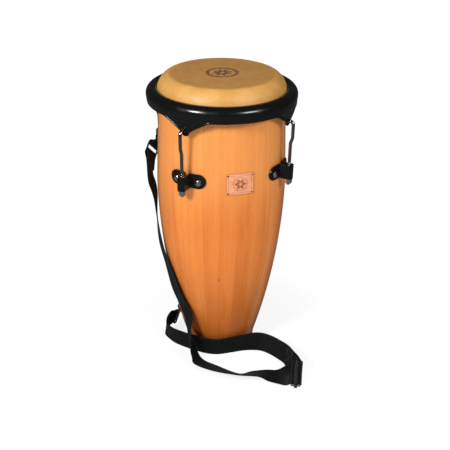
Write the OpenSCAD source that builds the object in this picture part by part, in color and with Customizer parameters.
// Small shoulder-strap conga: staved wooden shell, tunable head, webbing strap.
// Origin: centre of the base on the floor. +Z up the drum's axis, the badge faces -Y.
// Millimetres. Lugs stand at 45, 135, 225 and 315 degrees from the badge.

/* [Shell] */
// Overall height from the floor to the playing surface
total_h = 508; // [470:1:540]
// Outer radius of the shell at the floor
base_r = 61.5; // [58:0.5:66]
// Outer radius of the shell at its widest point
belly_r = 109.3; // [107:0.1:111]
// Height of the widest point
belly_z = 325; // [315:1:335]
// Outer radius of the shell 10 mm below the bearing edge
top_r = 100.9; // [100.6:0.1:101.6]
// Wall thickness of the staves
wall = 11; // [9:0.5:12]
// Number of staves
stave_n = 25; // [20:1:30]
// Angle of the first glue seam from the badge
stave_phase = -2.5; // [-7:0.5:7]
// Height of the rubber ring under the shell
base_ring_h = 6; // [4:0.5:10]

/* [Head] */
// Thickness of the skin
skin_t = 2.6; // [2.2:0.1:2.8]
// Wire radius of the flesh hoop inside the skin's tuck
hoop_wire_r = 2.8; // [2.4:0.1:2.8]
// Widest outer radius of the tension rim
rim_r = 122.2; // [121.5:0.1:123]
// Sheet thickness of the rim
rim_t = 2.5; // [2:0.1:2.8]
// Height of the rim's lower edge
rim_low_z = 465; // [463:0.5:466]
// Height of the ear's lowest point
ear_low_z = 440; // [438:0.5:441]
// Half width of an ear where it leaves the rim
ear_half_w = 46; // [42:1:48]
// Turn of the ears from their rods, because the rim sits slightly rotated
ear_turn = 1.8; // [0:0.1:2]

/* [Tuning gear] */
// Number of tuning lugs
lug_n = 4; // [4:1:4]
// Radius of the hook rods' lower, threaded axis from the drum axis
rod_axis_r = 124.3; // [124:0.1:125]
// Outward jog of the rods' upper part
rod_jog = 3; // [2:0.5:4]
// Radius of the rod's plain shank
shank_r = 2.75; // [2.5:0.05:2.9]
// Thread crest radius of the rod, quarter inch class
thread_r = 3.15; // [3.1:0.01:3.16]
// Thread pitch
thread_pitch = 1.27; // [1.2:0.01:1.4]
// Height of the rod's lower tip
rod_low_z = 341.5; // [340:0.5:342]
// Height of the middle of the side plates
plate_z = 365; // [362:0.5:368]
// Height of a side plate's band
plate_h = 24; // [22:0.5:25]
// Sheet thickness of a side plate
plate_t = 2.5; // [2:0.1:2.8]
// Angle of each plate screw from its lug's middle
screw_a = 10.2; // [9.8:0.1:10.6]
// Across-flats width of the tuning nuts
nut_af = 11; // [10:0.1:12]

/* [Badge] */
// Badge width round the shell
badge_w = 44; // [36:1:50]
// Badge height
badge_h = 34.6; // [28:0.2:38]
// Height of the badge's middle
badge_z = 362; // [355:1:370]

/* [Strap] */
// Webbing width
strap_w = 38; // [34:0.5:38]
// Webbing thickness
strap_t = 1.6; // [1.2:0.1:1.8]
// Wire radius of the rectangular and trapezoid strap rings
ring_wire_r = 1.6; // [1.4:0.1:1.6]

/* [Hidden] */
$fn = 96;
e = 0.05;

steel_c = [0.75, 0.76, 0.78];
black_c = [0.06, 0.065, 0.07];
wood_c = [0.88, 0.55, 0.24];
skin_c = [0.80, 0.62, 0.36];

function unit(v) = v / norm(v);
function lug_a(i) = -45 + 90 * i;

// shell outline: a barrel curve, fullest at belly_z
shell_h = total_h - skin_t - 0.2;
function shell_r(z) = z < belly_z
  ? belly_r - (belly_r - base_r) * pow((belly_z - z) / belly_z, 1.92)
  : belly_r - (belly_r - top_r) * pow((z - belly_z) / (shell_h - 10.2 - belly_z), 1.15);
function shell_tilt(z) = atan((shell_r(z + 1) - shell_r(z - 1)) / 2);

// bearing edge: a flattened quarter curve that rounds the outer top corner over
edge_a = 17;
edge_b = 23;
edge_n = 1.75;
edge_z = shell_h - edge_b;
edge_r = shell_r(edge_z) - edge_a;
// point of the edge curve at an angle, grown outwards by g
function edge_p(t, g) = [edge_r + (edge_a + g) * pow(cos(t), 2 / edge_n), edge_z + (edge_b + g) * pow(sin(t), 2 / edge_n)];
steps = 16;
function wall_z(k) = base_ring_h + e + (edge_z - base_ring_h - e) * k / steps;
shell_outer = [for (k = [0:steps]) [shell_r(wall_z(k)), wall_z(k)]];
shell_edge = [for (t = [12:9:75]) edge_p(t, 0)];
shell_inner = [for (k = [steps:-1:0]) [shell_r(wall_z(k)) - wall, wall_z(k)]];
in_r = shell_r(edge_z) - wall;

// at a lug: x runs round the shell, -y points outwards
module at_lug(i) { rotate([0, 0, lug_a(i)]) children(); }
// drawing plane of a lug: x outwards from the axis, y up
module in_plane() { multmatrix([[0, 0, -1, 0], [-1, 0, 0, 0], [0, 1, 0, 0], [0, 0, 0, 1]]) children(); }
// places children in a frame of three axes at a point
module frame(p, x, y, z) {
  multmatrix([[x[0], y[0], z[0], p[0]], [x[1], y[1], z[1], p[1]], [x[2], y[2], z[2], p[2]], [0, 0, 0, 1]]) children();
}
// round bar between two points of the drawing plane; its ends sit just inside the bends they meet
module bar(p, q, r) {
  d = q - p;
  translate([p[0], p[1], 0]) rotate([0, 0, atan2(d[1], d[0])]) translate([-0.25, 0, 0]) rotate([0, 90, 0])
    cylinder(h = norm(d) + 0.5, r = r - 0.02);
}
// round bent bar: centre c, bend radius, from angle a0 through a sweep
module bend(c, rho, a0, sweep, r) {
  translate([c[0], c[1], 0]) rotate([0, 0, a0]) rotate_extrude(angle = sweep) translate([rho, 0]) circle(r);
}
// radial cylinder through the wall at an angle and a height
module radial(a, z, r0, r1, r) {
  rotate([0, 0, a]) translate([0, -r0, z]) rotate([90, 0, 0]) cylinder(h = r1 - r0, r = r);
}

// ---------- positions of the strap's hardware ----------
tab_a = -123;
tab_z = 396;
ring_u = unit([0.44, 0.64, -0.63]);
ring_v0 = [-0.452, -0.441, -0.775];
ring_v = unit(ring_v0 - (ring_v0 * ring_u) * ring_u);
ring_w = cross(ring_u, ring_v);
ring_p = [-104.3, 61.8, 369];
ring_gap = 12;
anchor_a = -114.8;
anchor_z = 42;
anchor_tilt = shell_tilt(anchor_z);
anchor_off = 4.6;
low_b = [cos(anchor_a), sin(anchor_a), 0];
low_n = [sin(anchor_a) * cos(anchor_tilt), -cos(anchor_a) * cos(anchor_tilt), -sin(anchor_tilt)];
low_p = [shell_r(anchor_z) * sin(anchor_a), -shell_r(anchor_z) * cos(anchor_a), anchor_z] + anchor_off * low_n;
low_d0 = [-0.33, 0.13, -0.935];
low_d = unit(low_d0 - (low_d0 * low_b) * low_b);
low_c = cross(low_b, low_d);
low_h = 22;
slide_p = [87, -181.5, 20];
slide_s = unit([0.23, 0.57, 0.79]);
slide_q0 = [0.95, -0.31, -0.05];
slide_q = unit(slide_q0 - (slide_q0 * slide_s) * slide_s);
slide_n = cross(slide_s, slide_q);

// ---------- wooden shell ----------
module stave(i) {
  rotate([0, 0, stave_phase - 90 + i * 360 / stave_n])
    rotate_extrude(angle = 360 / stave_n - 0.03)
      polygon(concat(shell_outer, shell_edge, [[in_r + 0.4, edge_p(75, 0)[1] - 0.2], [in_r, edge_p(75, 0)[1] - 1.5]], shell_inner));
}
module shell_staves() {
  color(wood_c) difference() {
    for (i = [0:stave_n - 1]) stave(i);
    for (i = [0:lug_n - 1], s = [-1, 1]) radial(lug_a(i) + s * screw_a, plate_z - 2, 80, 120, 2.6);
    radial(tab_a, tab_z, 80, 120, 2.6);
    rotate([0, 0, anchor_a]) translate([0, -shell_r(anchor_z), anchor_z]) rotate([anchor_tilt, 0, 0])
      for (s = [-1, 1]) translate([0, 8, s * 12.5]) rotate([90, 0, 0]) cylinder(h = 12, r = 1.5);
  }
}
// rubber ring that keeps the bottom of the shell off the floor
module base_ring() {
  color(black_c) rotate_extrude() {
    translate([shell_r(base_ring_h) - wall, 0]) square([wall - 0.9, base_ring_h]);
    translate([shell_r(base_ring_h) - wall, 1.5]) square([wall + 0.6, base_ring_h - 1.5]);
    translate([shell_r(base_ring_h) - 0.9, 1.5]) circle(1.5);
  }
}

// ---------- head ----------
gap = 0.2;
skin_z = [for (k = [0:4]) edge_z + (474 - edge_z) * k / 4];
tuck_r = shell_r(476) + gap + skin_t + 0.2 + 2 * hoop_wire_r + 0.2;
module drum_skin() {
  color(skin_c) rotate_extrude($fn = 180) polygon(concat(
    [[0, total_h], [edge_r, total_h]],
    [for (t = [81:-6:3]) edge_p(t, skin_t + gap)],
    [for (z = skin_z) [shell_r(z) + gap + skin_t, z]],
    [[shell_r(474) + gap + skin_t, 474], [tuck_r, 474], [tuck_r, 485.6], [tuck_r + 2.6, 485.6], [tuck_r + 2.6, 473],
     [tuck_r + 1.2, 471.4], [shell_r(471.4) + gap + 1, 471.4]],
    [for (k = [4:-1:0]) [shell_r(skin_z[k]) + gap, skin_z[k]]],
    [for (t = [6:6:78]) edge_p(t, gap)],
    [[edge_r, total_h - skin_t], [0, total_h - skin_t]]));
}
module flesh_hoop() {
  color(steel_c) translate([0, 0, 474.2 + hoop_wire_r])
    rotate_extrude() translate([tuck_r - 0.2 - hoop_wire_r, 0]) circle(hoop_wire_r, $fn = 48);
}
// rolled rim section: a bead on the skin side, a full outer curve, a plain lower edge
rim_in = shell_r(edge_z) + gap + skin_t + 0.5;
rim_c = [rim_r - 11.6, 477.8];
module rim_section() {
  polygon(concat(
    [[rim_in, 485.2], [rim_in, 487], [rim_in + 0.9, 488.2]],
    [for (t = [100:-10:0]) rim_c + [11.6 * cos(t), 11.4 * sin(t)]],
    [for (k = [1:4]) [rim_r - 0.10 * k - 0.14 * k * k, 477.8 + (rim_low_z - 477.8) * k / 4]],
    [for (k = [4:-1:1]) [rim_r - rim_t - 0.10 * k - 0.14 * k * k, 477.8 + (rim_low_z - 477.8) * k / 4]],
    [for (t = [0:10:90]) rim_c + [(11.6 - rim_t) * cos(t), (11.4 - rim_t) * sin(t)]],
    [[rim_in + rim_t, 485.2]]));
}
// ear outline seen from outside: concave flanks that run down to a round tip
ear_tip_r = 5.5;
function ear_w(z) = ear_tip_r - 0.3 + (ear_half_w - ear_tip_r) * pow(max(0, (z - ear_low_z - 4.5) / (rim_low_z + 3.5 - ear_low_z - 4.5)), 1.7);
ear_zs = [for (k = [0:12]) ear_low_z + 4.5 + (rim_low_z + 3.5 - ear_low_z - 4.5) * k / 12];
module ear(i) {
  at_lug(i) rotate([0, 0, ear_turn]) intersection() {
    rotate([0, 0, -115]) rotate_extrude(angle = 50)
      polygon([[rim_r - 2.2 - rim_t, rim_low_z + 2], [rim_r - 2.9, rim_low_z + 2], [rim_r - 4.9, ear_low_z - 1], [rim_r - 4.2 - rim_t, ear_low_z - 1]]);
    translate([0, -100, 0]) rotate([90, 0, 0]) linear_extrude(30) union() {
      polygon(concat([for (z = ear_zs) [ear_w(z), z]], [for (k = [12:-1:0]) [-ear_w(ear_zs[k]), ear_zs[k]]]));
      translate([0, ear_low_z + ear_tip_r]) circle(ear_tip_r);
    }
  }
}
hook_z = 449.5;
module tension_rim() {
  color(black_c) difference() {
    union() {
      rotate_extrude($fn = 180) rim_section();
      for (i = [0:lug_n - 1]) ear(i);
    }
    for (i = [0:lug_n - 1]) radial(lug_a(i), hook_z, 100, 135, 3.5);
  }
}

// ---------- tuning gear ----------
jog_a = 18;
jog_rho = 12;
jog_l = (rod_jog - 2 * jog_rho * (1 - cos(jog_a))) / sin(jog_a);
jog_z0 = 411.5;
jog_z1 = jog_z0 + 2 * jog_rho * sin(jog_a) + jog_l * cos(jog_a);
up_r = rod_axis_r + rod_jog;
turns = 30;
thread_top = rod_low_z + 1.5 + turns * thread_pitch;
module hook(i) {
  color(steel_c) at_lug(i) {
    translate([0, -rod_axis_r, 0]) rotate_extrude($fn = 48) polygon(concat(
      [[0, rod_low_z], [1.9, rod_low_z]],
      [for (k = [0:turns - 1], s = [0, 1]) [s == 0 ? thread_r - 0.55 : thread_r, rod_low_z + 1.2 + (k + s * 0.5) * thread_pitch]],
      [[thread_r - 0.55, thread_top], [shank_r, thread_top + 0.4], [shank_r, jog_z0 - 0.3], [shank_r - 0.02, jog_z0 - 0.3], [shank_r - 0.02, jog_z0 + 0.25], [0, jog_z0 + 0.25]]));
    in_plane() {
      bend([rod_axis_r + jog_rho, jog_z0], jog_rho, 180 - jog_a, jog_a, shank_r);
      m = [rod_axis_r + jog_rho * (1 - cos(jog_a)), jog_z0 + jog_rho * sin(jog_a)];
      n = m + jog_l * [sin(jog_a), cos(jog_a)];
      bar(m, n, shank_r);
      bend([up_r - jog_rho, jog_z1], jog_rho, -jog_a, jog_a, shank_r);
      bar([up_r, jog_z1], [up_r, hook_z - 6], shank_r);
      bend([up_r - 6, hook_z - 6], 6, 0, 90, shank_r);
      bar([up_r - 6, hook_z], [114, hook_z], shank_r);
      bend([114, hook_z + 4], 4, 180, 90, shank_r);
      bar([110, hook_z + 4], [110, hook_z + 6], shank_r);
      translate([110, hook_z + 6, 0]) sphere(shank_r);
    }
  }
}
washer_z = plate_z - plate_h / 2 - e - 1.5;
module tuning_washers() {
  color(steel_c) for (i = [0:lug_n - 1]) at_lug(i) translate([0, -rod_axis_r, washer_z]) difference() {
    cylinder(h = 1.5, r = 7);
    translate([0, 0, -1]) cylinder(h = 4, r = 3.4);
  }
}
module nut(i) {
  color(steel_c) at_lug(i) translate([0, -rod_axis_r, washer_z - e]) difference() {
    union() {
      translate([0, 0, -6]) intersection() {
        cylinder(h = 6, r = nut_af / sqrt(3), $fn = 6);
        translate([0, 0, -1.4]) cylinder(h = 7.4, r1 = nut_af / 2 - 1.0, r2 = nut_af / 2 + 6.4);
      }
      translate([0, 0, -8]) cylinder(h = 2.2, r1 = 4.1, r2 = 4.9);
    }
    translate([0, 0, -9]) cylinder(h = 10, r = thread_r + 0.05);
  }
}
// omega band: two feet on the shell, a channel round the rod, open above and below
foot_r = shell_r(plate_z - plate_h / 2) + e;
chan_w = 13;
chan_r = rod_axis_r + thread_r + 0.6 + plate_t;
module plate(i) {
  color(black_c) at_lug(i) difference() {
    translate([0, 0, plate_z - plate_h / 2]) linear_extrude(plate_h) difference() {
      union() {
        intersection() {
          difference() { circle(foot_r + plate_t, $fn = 180); circle(foot_r, $fn = 180); }
          polygon([[0, 0], [-60, -180], [60, -180]]);
        }
        translate([-chan_w / 2, -chan_r + 3]) square([chan_w, chan_r - 3 - foot_r + 0.4]);
        translate([-chan_w / 2 + 3, -chan_r]) square([chan_w - 6, 6]);
        for (s = [-1, 1]) translate([s * (chan_w / 2 - 3), -chan_r + 3]) circle(3);
      }
      translate([-chan_w / 2 + plate_t, -chan_r + plate_t + 1]) square([chan_w - 2 * plate_t, chan_r - foot_r + 6]);
      translate([-chan_w / 2 + plate_t + 1, -chan_r + plate_t]) square([chan_w - 2 * plate_t - 2, 8]);
      for (s = [-1, 1]) translate([s * (chan_w / 2 - plate_t - 1), -chan_r + plate_t + 1]) circle(1);
      circle(foot_r);
    }
    // rounded ends of the feet
    translate([0, -100, 0]) rotate([90, 0, 0]) linear_extrude(20) for (s = [-1, 1]) difference() {
      translate([s * 40 - 20, plate_z - 20]) square([40, 40]);
      translate([s * 19.2, plate_z]) circle(plate_h / 2);
      translate([s * 9.6 - 9.6, plate_z - plate_h / 2 - 1]) square([19.2, plate_h + 2]);
    }
    for (s = [-1, 1]) radial(s * screw_a, plate_z - 2, 90, 125, 2.6);
  }
}
back_r = shell_r(plate_z + 6) - wall - e;
module backing_plates() {
  color(black_c) for (i = [0:lug_n - 1]) at_lug(i) difference() {
    rotate([0, 0, -105]) rotate_extrude(angle = 30) translate([back_r - 2, plate_z - 10]) square([2, 16]);
    for (s = [-1, 1]) radial(s * screw_a, plate_z - 2, 80, 125, 2.6);
  }
}
// pan head with a cross recess; the head's seat is at y = 0 and the shank runs inwards
module screw(len, r, head_r, head_h) {
  rotate([90, 0, 0]) difference() {
    union() {
      translate([0, 0, -len]) cylinder(h = len + 0.5, r = r);
      rotate_extrude($fn = 48) polygon(concat([[0, 0], [head_r, 0], [head_r, head_h * 0.35]],
        [for (t = [20:14:90]) [head_r * cos(t) * 1.0, head_h * (0.3 + 0.7 * sin(t))]], [[0, head_h]]));
    }
    for (a = [45, 135]) rotate([0, 0, a]) translate([-head_r * 0.55, -0.45, head_h - 1.3]) cube([head_r * 1.1, 0.9, 2]);
  }
}
module side_plate_screws() {
  color(steel_c) for (i = [0:lug_n - 1], s = [-1, 1])
    rotate([0, 0, lug_a(i) + s * screw_a]) translate([0, -foot_r - plate_t - e, plate_z - 2])
      screw(foot_r + plate_t - back_r + 2 + 5, 2.4, 5, 2.8);
}
module wall_nut(a, z, r) {
  rotate([0, 0, a]) translate([0, -r + 0.2, z]) rotate([-90, 0, 0]) difference() {
    cylinder(h = 3.6, r = 4.6, $fn = 6);
    translate([0, 0, -1]) cylinder(h = 6, r = 2.45);
  }
}
module side_plate_nuts() {
  color(steel_c) for (i = [0:lug_n - 1], s = [-1, 1]) wall_nut(lug_a(i) + s * screw_a, plate_z - 2, back_r - 2);
}

// ---------- badge ----------
badge_ang = badge_w / shell_r(badge_z) * 180 / PI;
badge_zs = [for (k = [0:5]) badge_z - badge_h / 2 + badge_h * k / 5];
module leather_badge() {
  color([0.85, 0.58, 0.42]) difference() {
    rotate([0, 0, -90 - badge_ang / 2]) rotate_extrude(angle = badge_ang)
      polygon(concat([for (z = badge_zs) [shell_r(z) + 1.7, z]], [for (k = [5:-1:0]) [shell_r(badge_zs[k]) + 0.1, badge_zs[k]]]));
    for (s = [-1, 1], t = [-1, 1]) radial(s * (badge_ang / 2 - 1.3), badge_z + t * (badge_h / 2 - 2.4), 100, 115, 0.75);
  }
}
module badge_tacks() {
  color(steel_c) for (s = [-1, 1], t = [-1, 1]) {
    z = badge_z + t * (badge_h / 2 - 2.4);
    rotate([0, 0, s * (badge_ang / 2 - 1.3)]) translate([0, -shell_r(z) - 1.85, z]) rotate([90, 0, 0])
      rotate_extrude($fn = 32) polygon([[0, -1.7], [0.7, -1.7], [0.7, 0], [1.5, 0], [1.3, 0.45], [0.8, 0.75], [0, 0.85]]);
  }
}

// ---------- strap ----------
// thin slab across the webbing: centre p, width axis w, running direction d
module slab(p, w, d, t) {
  x = unit(w);
  z = unit(d - (d * x) * x);
  frame(p, x, cross(z, x), z) cube([strap_w, t, 0.3], center = true);
}
function wdir(k) = [cos(k[4]) * cos(k[3]), cos(k[4]) * sin(k[3]), sin(k[4])];
function knot(route, i) = route[max(0, min(len(route) - 1, i))];
function pos(k) = [k[0], k[1], k[2]];
function cr(a, b, c, d, t) = 0.5 * ((2 * b) + (c - a) * t + (2 * a - 5 * b + 4 * c - d) * t * t + (3 * b - a - 3 * c + d) * t * t * t);
function along(route, i, t) = cr(pos(knot(route, i - 1)), pos(knot(route, i)), pos(knot(route, i + 1)), pos(knot(route, i + 2)), t);
function across(route, i, t) = unit(wdir(knot(route, i)) * (1 - t) + wdir(knot(route, i + 1)) * t);
function step01(t) = let (c = max(0, min(1, t))) c * c * (3 - 2 * c);
// stations [centre, width axis] along a route of knots [x, y, z, heading of the width axis, its slope]
function stations(route, a, b, sub) = [for (i = [a:b - 1], k = [0:sub - 1]) [along(route, i, k / sub), across(route, i, k / sub)]];
// smooth stations between a few given ones
function blend_st(K, sub) = [for (i = [0:len(K) - 2], k = [0:sub - 1]) let (t = k / sub)
  [cr(K[max(0, i - 1)][0], K[i][0], K[i + 1][0], K[min(len(K) - 1, i + 2)][0], t), unit(K[i][1] * (1 - t) + K[i + 1][1] * t)]];
function run_dir(S, j) = S[min(len(S) - 1, j + 1)][0] - S[max(0, j - 1)][0];
function face_dir(S, j) = unit(cross(run_dir(S, j), S[j][1]));
function reversed(S) = [for (j = [len(S) - 1:-1:0]) S[j]];
// half turn of webbing round a bar at c, from e1 through e2
function turn(c, e1, e2, r, a0, a1, n, w) = [for (k = [0:n]) let (a = a0 + (a1 - a0) * k / n) [c + r * (cos(a) * e1 + sin(a) * e2), w]];
// one closed band of webbing through its stations
module band(S) {
  n = len(S);
  h = strap_w / 2;
  q = strap_t / 2;
  pts = [for (j = [0:n - 1]) let (p = S[j][0], w = S[j][1] * h, m = face_dir(S, j) * q)
    each [p + w - m, p - m, p - w - m, p - w + m, p + m, p + w + m]];
  // both faces are split along the same diagonals, so a twist keeps the thickness
  sides = [for (j = [0:n - 2], k = [0:5]) let (a = 6 * j + k, b = 6 * j + (k + 1) % 6)
    each (k < 3 ? [[a, b, b + 6], [a, b + 6, a + 6]] : [[a, b, a + 6], [b, b + 6, a + 6]])];
  z = 6 * n - 6;
  polyhedron(pts, concat([[4, 1, 0], [5, 4, 0], [4, 3, 2], [4, 2, 1]], sides, [[z, z + 1, z + 4], [z, z + 4, z + 5], [z + 2, z + 3, z + 4], [z + 1, z + 2, z + 4]]));
}
// point of the slider's own plane: q across the bars, n behind them
function sl(q, n) = let (p = slide_p + q * slide_q + n * slide_n) [p[0], p[1], p[2], 68, 52.2];
loop_r = ring_wire_r + 0.15 + strap_t / 2;
lay = strap_t / 2 + 0.35;
// from the upper ring down the left side of the shell, along the floor, through the slider and away from it
shoulder_route = [
  [ring_p[0] + ring_v[0] * (ring_gap + 4.5), ring_p[1] + ring_v[1] * (ring_gap + 4.5), ring_p[2] + ring_v[2] * (ring_gap + 4.5), 55.5, -39],
  [-112, 51, 343, 62, -20], [-113, 47, 318, 68, 0], [-108, 39, 286, 71, 0], [-109, 24, 248, 82, 0],
  [-107, 4, 204, 93, 0], [-99, -18, 168, 100, 0], [-88.5, -33, 125, 109, 0], [-77, -43, 94, 113, 0],
  [-75, -52, 66, 93, 0], [-77, -66, 52, 85, 0], [-76, -74, 38, 77, 0], [-71, -77, 20, 68, -6],
  [-66, -92, 9, 54, -23], [-43, -120, 11, 57, -27], [-9, -149, 13.5, 65, -38], [22, -152, 10, 88, -26],
  [44, -157, 5.5, 74, -10], [60, -163, 4, 72, -2], [71, -169, 9, 71, 20],
  sl(-9.6, 5.4), sl(-7.8, 2.9), sl(-6.3, 2.1), sl(-5.2, 0), sl(-4.3, -2), sl(-2.6, -3.75), sl(0, -4.55),
  sl(2.6, -3.75), sl(4.3, -2), sl(5.2, 0), sl(6.3, 2.1), sl(7.8, 2.7), sl(9.4, 3.4), sl(10.2, 5.4), [97.7, -177.5, 16.9, 56, 57], [93.9, -170.5, 18.3, 35, 64]];
// doubled run from the slider round the front of the base to the anchor ring
lower_route = [
  [91.5, -156, 20.5, 14, 74], [88, -129, 20.5, 24, 80], [80, -112, 20.5, 35, 82], [70, -96, 20.5, 45, 83], [57, -83, 20.5, 55, 85],
  [42, -77.5, 20.5, 80, 88], [24, -76, 20.5, -95, 85], [0, -76, 20.5, -98, 83], [-26, -75, 20.5, -101, 81], [-48, -64.5, 20.5, -120, 82],
  [-70, -47, 20.5, -135, 81], [-86, -32, 20.5, -134, 80], [-96, -20, 20.5, -133, 79], [-102, -6, 20.5, -150, 82], [-102, 10, 20.7, 38, 80],
  [-95, 24, 20.4, 52, 53], [-88, 31.5, 20.6, 62, 17],
  [low_p[0] + low_d[0] * low_h - 3.6, low_p[1] + low_d[1] * low_h - 0.6, low_p[2] + low_d[2] * low_h, 65.2, 0]];
// sewn loop of webbing round a bar, along x
module loop_eye(bar_r) {
  rotate([0, 90, 0]) difference() {
    cylinder(h = strap_w, r = bar_r + 0.1 + strap_t, center = true, $fn = 32);
    cylinder(h = strap_w + 2, r = bar_r + 0.1, center = true, $fn = 32);
  }
}
up_c = ring_p + ring_gap * ring_v;
low_c_pt = low_p + low_h * low_d;
s_up = concat(stations(shoulder_route, 0, 2, 12), stations(shoulder_route, 2, 19, 4), stations(shoulder_route, 19, len(shoulder_route) - 1, 2));
up_side = face_dir(s_up, 0) * [s_up[0][0][0], s_up[0][0][1], 0] > 0 ? 1 : -1;
up_n = up_side * unit(cross(ring_v, ring_u));
function up_d(j) = norm(s_up[j][0] - s_up[0][0]);
function up_off(j) = lay + (loop_r - lay) * step01((9 - up_d(j)) / 9);
main_run = [for (j = [0:len(s_up) - 1]) [s_up[j][0] + up_side * up_off(j) * step01((58 - up_d(j)) / 16) * face_dir(s_up, j), s_up[j][1]]];
up_flap = reversed([for (j = [0:len(s_up) - 1]) if (j < 30 && up_d(j) < 34) [s_up[j][0] - up_side * up_off(j) * face_dir(s_up, j), s_up[j][1]]]);
s_low = concat(stations(lower_route, 0, len(lower_route) - 1, 6), [[pos(lower_route[len(lower_route) - 1]), wdir(lower_route[len(lower_route) - 1])]]);
k_low = len(s_low) - 1;
function low_off(j) = lay + (loop_r - lay) * step01((12 - norm(s_low[j][0] - s_low[k_low][0])) / 12);
inner_run = [for (j = [5:k_low]) [s_low[j][0] + low_off(j) * face_dir(s_low, j), s_low[j][1]]];
outer_run = reversed([for (j = [5:k_low]) [s_low[j][0] - low_off(j) * face_dir(s_low, j), s_low[j][1]]]);
fold_n = face_dir(s_low, k_low);
fold_e = unit(cross(s_low[k_low][1], fold_n));
function st(k) = [pos(k), wdir(k)];
lead_run = blend_st([st([93.9, -170.5, 18.3, 35, 64]), st([93.1, -160, 20.6, 15, 72]), inner_run[0]], 6);
tail_run = blend_st([outer_run[len(outer_run) - 1], st([90.1, -160, 20.7, 14, 74]), st([88.2, -171, 18, 42, 60]), st(sl(-0.3, 6.6)), st(sl(-0.5, 3.3))], 4);

module strap() {
  // flap sewn back at the upper ring, shoulder run, slider, front run out to the lower ring and back, loop on the slider's pin
  color(black_c) band(concat(
    up_flap, turn(up_c, -up_n, -ring_v, loop_r, 0, 180, 10, ring_u), main_run,
    lead_run, inner_run, turn(low_c_pt, fold_n, fold_e, loop_r, 0, 180, 10, s_low[k_low][1]), outer_run,
    [for (k = [1:len(tail_run) - 1]) tail_run[k]],
    turn(slide_p, slide_n, -slide_q, pin_r + 0.15 + strap_t / 2, 12, 325, 14, wdir(sl(0, 0)))));
}
// folded tab: two layers on the shell under one screw, looped through the upper ring
tab_dir = unit([0.63, -0.14, 0.77]);
function tab_pt(z) = [(shell_r(z) + 0.4 + strap_t) * sin(tab_a), -(shell_r(z) + 0.4 + strap_t) * cos(tab_a), z];
tab_w = [cos(tab_a + 180), sin(tab_a + 180), 0];
module strap_tab() {
  color(black_c) difference() {
    union() {
      hull() { slab(tab_pt(tab_z + 9), tab_w, [0, 0, 1], 2 * strap_t); slab(tab_pt(tab_z - 8), tab_w, [0, 0, 1], 2 * strap_t); }
      hull() { slab(tab_pt(tab_z - 8), tab_w, [0, 0, 1], 2 * strap_t); slab(ring_p + 3 * tab_dir, ring_u, tab_dir, 2 * strap_t); }
      frame(ring_p, ring_u, ring_v, ring_w) loop_eye(ring_wire_r);
    }
    radial(tab_a, tab_z, 95, 125, 2.6);
    frame(ring_p, ring_u, ring_v, ring_w) rotate([0, 90, 0]) cylinder(h = 60, r = ring_wire_r + 0.1, center = true);
  }
}
tab_seat = shell_r(tab_z) + 0.4 + 2 * strap_t + 0.45;
module tab_washer() {
  color(steel_c) rotate([0, 0, tab_a]) translate([0, -tab_seat, tab_z]) rotate([90, 0, 0]) difference() {
    cylinder(h = 1.2, r = 6.5);
    translate([0, 0, -1]) cylinder(h = 4, r = 2.6);
  }
}
module tab_screw() {
  color(steel_c) rotate([0, 0, tab_a]) translate([0, -tab_seat - 1.2 - e, tab_z]) screw(24, 2.4, 4.6, 2.6);
}
module tab_nut() { color(steel_c) wall_nut(tab_a, tab_z, shell_r(tab_z) - wall - 1.2); }

// welded wire ring, straight sides and rounded corners; hangs from its upper bar
module upper_ring() {
  hx = strap_w / 2 + 2.6;
  c = 3;
  color(black_c) frame(ring_p, ring_u, ring_v, ring_w) {
    for (y = [0, ring_gap]) bar([-hx + c, y], [hx - c, y], ring_wire_r);
    for (x = [-hx, hx]) bar([x, c], [x, ring_gap - c], ring_wire_r);
    bend([hx - c, ring_gap - c], c, 0, 90, ring_wire_r);
    bend([-hx + c, ring_gap - c], c, 90, 90, ring_wire_r);
    bend([-hx + c, c], c, 180, 90, ring_wire_r);
    bend([hx - c, c], c, 270, 90, ring_wire_r);
  }
}
// trapezoid wire ring: short bar behind the saddle, long bar in the webbing's loop
module lower_ring() {
  // half length of the long bar, bend radius, lean of the side bars
  hb = strap_w / 2 + 2.2;
  c = 3;
  k = 5;
  lean = atan((hb - k) / (low_h - 2 * c));
  color(black_c) frame(low_p, low_b, low_d, low_c) {
    bar([-k, 0], [k, 0], ring_wire_r);
    bar([-hb, low_h], [hb, low_h], ring_wire_r);
    for (s = [0, 1]) mirror([s, 0, 0]) {
      bend([k, c], c, -90, 90 - lean, ring_wire_r);
      bend([hb, low_h - c], c, -lean, 90 + lean, ring_wire_r);
      bar([k + c * cos(lean), c - c * sin(lean)], [hb + c * cos(lean), low_h - c - c * sin(lean)], ring_wire_r);
    }
  }
}
// saddle: a strip screwed above and below, with a bridge over the ring's short bar
module anchor_saddle() {
  color(steel_c) rotate([0, 0, anchor_a]) translate([0, -shell_r(anchor_z), anchor_z]) rotate([anchor_tilt, 0, 0]) difference() {
    translate([-2.5, 0, 0]) rotate([0, 90, 0]) linear_extrude(5) difference() {
      union() {
        polygon([[-18, -0.5], [-7.5, -0.5], [-6, -2], [-6, -7.2], [6, -7.2], [6, -2], [7.5, -0.5], [18, -0.5],
                 [18, -2.0], [8.1, -2.0], [7.5, -2.6], [7.5, -8.7], [-7.5, -8.7], [-7.5, -2.6], [-8.1, -2.0], [-18, -2.0]]);
      }
      translate([-30, -0.4]) square([60, 3]);
    }
    for (s = [-1, 1]) translate([0, 3, s * 12.5]) rotate([90, 0, 0]) cylinder(h = 12, r = 1.6);
  }
}
module anchor_screws() {
  color(steel_c) rotate([0, 0, anchor_a]) translate([0, -shell_r(anchor_z), anchor_z]) rotate([anchor_tilt, 0, 0])
    for (s = [-1, 1]) translate([0, -2.05, s * 12.5]) screw(9.5, 1.45, 3.1, 1.8);
}
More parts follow.
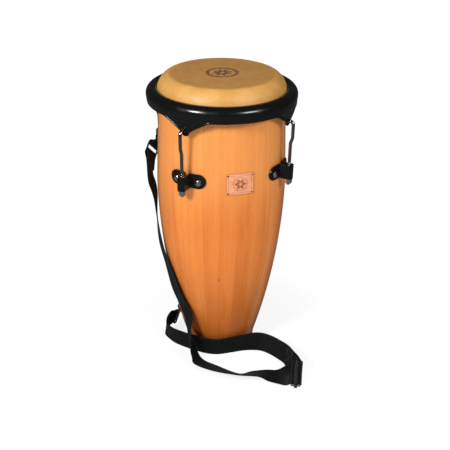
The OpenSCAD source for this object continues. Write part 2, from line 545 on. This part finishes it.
// flat tri-glide frame: x along the bars, y across them, -z towards the webbing's outer face
pin_r = 1.9;
module strap_slider() {
  color(black_c) frame(slide_p, slide_s, slide_q, slide_n) difference() {
    union() {
      translate([-19.5, -8.8, -1.25]) cube([39, 17.6, 2.5]);
      translate([-21.5, -6.8, -1.25]) cube([43, 13.6, 2.5]);
      for (x = [-19.5, 19.5], y = [-6.8, 6.8]) translate([x, y, -1.25]) cylinder(h = 2.5, r = 2);
      for (x = [-21.5, 19.7]) translate([x, 0, 0]) rotate([0, 90, 0]) cylinder(h = 1.8, r = 3.4);
    }
    translate([-19.5, -6.8, -4]) cube([39, 13.6, 8]);
    translate([-30, 0, 0]) rotate([0, 90, 0]) cylinder(h = 60, r = pin_r + 0.05);
  }
}
module slider_pin() {
  color(black_c) frame(slide_p, slide_s, slide_q, slide_n) {
    translate([-22.3, 0, 0]) rotate([0, 90, 0]) cylinder(h = 44.6, r = pin_r);
    for (s = [-1, 1]) translate([s * 22.8, 0, 0]) rotate([0, s * 90, 0]) translate([0, 0, -1]) rotate_extrude($fn = 32)
      polygon([[0, 0], [2.4, 0], [2.9, 0.5], [2.9, 1.4], [2.3, 2.2], [1.2, 2.6], [0, 2.7]]);
  }
}

module tuning_hook_1() { hook(0); }
module tuning_hook_2() { hook(1); }
module tuning_hook_3() { hook(2); }
module tuning_hook_4() { hook(3); }
module tuning_nut_1() { nut(0); }
module tuning_nut_2() { nut(1); }
module tuning_nut_3() { nut(2); }
module tuning_nut_4() { nut(3); }
module side_plate_1() { plate(0); }
module side_plate_2() { plate(1); }
module side_plate_3() { plate(2); }
module side_plate_4() { plate(3); }

shell_staves();
base_ring();
drum_skin();
flesh_hoop();
tension_rim();
tuning_hook_1();
tuning_hook_2();
tuning_hook_3();
tuning_hook_4();
tuning_nut_1();
tuning_nut_2();
tuning_nut_3();
tuning_nut_4();
tuning_washers();
side_plate_1();
side_plate_2();
side_plate_3();
side_plate_4();
backing_plates();
side_plate_screws();
side_plate_nuts();
leather_badge();
badge_tacks();
strap_tab();
tab_screw();
tab_washer();
tab_nut();
upper_ring();
strap();
strap_slider();
slider_pin();
lower_ring();
anchor_saddle();
anchor_screws();
